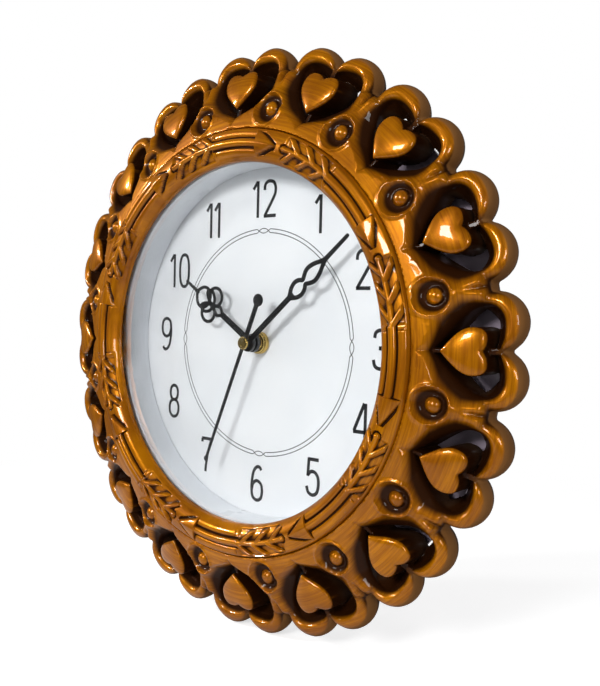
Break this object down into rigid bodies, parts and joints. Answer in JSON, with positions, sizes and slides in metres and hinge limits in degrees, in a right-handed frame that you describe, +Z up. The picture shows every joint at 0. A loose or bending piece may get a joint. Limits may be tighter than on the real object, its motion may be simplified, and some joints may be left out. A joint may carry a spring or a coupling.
{
  "type": "wall clock",
  "caption": "Round wall clock with an openwork rim of hearts and roundels, an arrow bezel, a deep white well, a numbered dial and three black hands.",
  "frame": {"origin": "where the upper end of the hanger keyhole rests on its nail, in the plane of the wall", "axes": "+Z up, +X to the right seen from the front, +Y into the wall; the dial faces -Y"},
  "size_m": [0.3004, 0.0504, 0.3004],
  "materials": {
    "lacquer": "gold-brown lacquer with wood-like streaks over a dark moulding",
    "bezel_lacquer": "gold-brown lacquer",
    "glass": "clear float glass",
    "white_plastic": "satin white",
    "dial_white": "white card face, printed black",
    "cover_plastic": "fine textured purple-grey moulding",
    "zinc_steel": "zinc plated",
    "screw_steel": "zinc plated",
    "rubber": "matt black",
    "brass": "turned, polished",
    "black_plastic": "fine textured",
    "iron": "bare",
    "bobbin_plastic": "natural",
    "copper": "enamelled copper wire",
    "board": "green solder mask",
    "can_steel": "nickel plated",
    "black_resin": "resin blob",
    "spring_steel": "nickel plated strip",
    "battery_wrap": "plain shrink wrap",
    "magnet": "sintered",
    "knob_plastic": "white",
    "hand_black": "satin black paint",
    "gear_plastic": "natural acetal"
  },
  "bodies": {
    "housing": {"heart_rim": "lacquer", "arrow_bezel": "bezel_lacquer", "front_glass": "glass", "dial_well": "white_plastic", "dial_plate": "dial_white", "rear_cover": "cover_plastic", "cover_screw_1": "screw_steel", "cover_screw_2": "screw_steel", "cover_screw_3": "screw_steel", "cover_screw_4": "screw_steel", "hanger_plate": "zinc_steel", "hanger_screw_1": "screw_steel", "hanger_screw_2": "screw_steel", "rubber_washer": "rubber", "threaded_bush": "brass", "mounting_nut": "brass", "movement_case": "black_plastic", "movement_lid": "black_plastic", "stator": "iron", "coil_core": "iron", "coil_bobbin": "bobbin_plastic", "coil_winding": "copper", "circuit_board": "board", "quartz_crystal": "can_steel", "control_chip": "black_resin", "contact_positive": "spring_steel", "contact_negative": "spring_steel", "battery": "battery_wrap"},
    "second_arbor": {"second_hand": "hand_black", "hand_cap": "brass", "second_wheel": "gear_plastic"},
    "minute_tube": {"minute_hand": "hand_black", "cannon_pinion": "brass", "centre_wheel": "gear_plastic"},
    "hour_tube": {"hour_hand": "hand_black", "hour_wheel": "gear_plastic"},
    "third_arbor": {"third_wheel": "gear_plastic"},
    "intermediate_arbor": {"intermediate_wheel": "gear_plastic"},
    "rotor": {"rotor_magnet": "magnet", "rotor_pinion": "gear_plastic"},
    "setting_arbor": {"minute_wheel": "gear_plastic", "setting_knob": "knob_plastic"}
  },
  "joints": [
    {"name": "second_spin", "type": "hinge", "parent": "housing", "child": "second_arbor", "pos_m": [0, -0.015, -0.078], "axis": [0, 1, 0], "continuous": true},
    {"name": "minute_spin", "type": "hinge", "parent": "housing", "child": "minute_tube", "pos_m": [0, -0.015, -0.078], "axis": [0, 1, 0], "continuous": true},
    {"name": "hour_spin", "type": "hinge", "parent": "housing", "child": "hour_tube", "pos_m": [0, -0.015, -0.078], "axis": [0, 1, 0], "continuous": true},
    {"name": "third_spin", "type": "hinge", "parent": "housing", "child": "third_arbor", "pos_m": [-0.0108, -0.015, -0.078], "axis": [0, 1, 0], "continuous": true},
    {"name": "intermediate_spin", "type": "hinge", "parent": "housing", "child": "intermediate_arbor", "pos_m": [0.0108, -0.015, -0.078], "axis": [0, 1, 0], "continuous": true},
    {"name": "rotor_spin", "type": "hinge", "parent": "housing", "child": "rotor", "pos_m": [0.01297, -0.015, -0.06989], "axis": [0, 1, 0], "continuous": true},
    {"name": "knob_spin", "type": "hinge", "parent": "housing", "child": "setting_arbor", "pos_m": [0, -0.015, -0.0668], "axis": [0, 1, 0], "continuous": true}
  ],
  "couplings": [
    {"joint": "minute_spin", "follows": "second_spin", "ratio": 0.016667},
    {"joint": "hour_spin", "follows": "second_spin", "ratio": 0.0013889},
    {"joint": "third_spin", "follows": "second_spin", "ratio": -0.13333},
    {"joint": "intermediate_spin", "follows": "second_spin", "ratio": -5},
    {"joint": "rotor_spin", "follows": "second_spin", "ratio": 30},
    {"joint": "knob_spin", "follows": "second_spin", "ratio": -0.0055556}
  ]
}
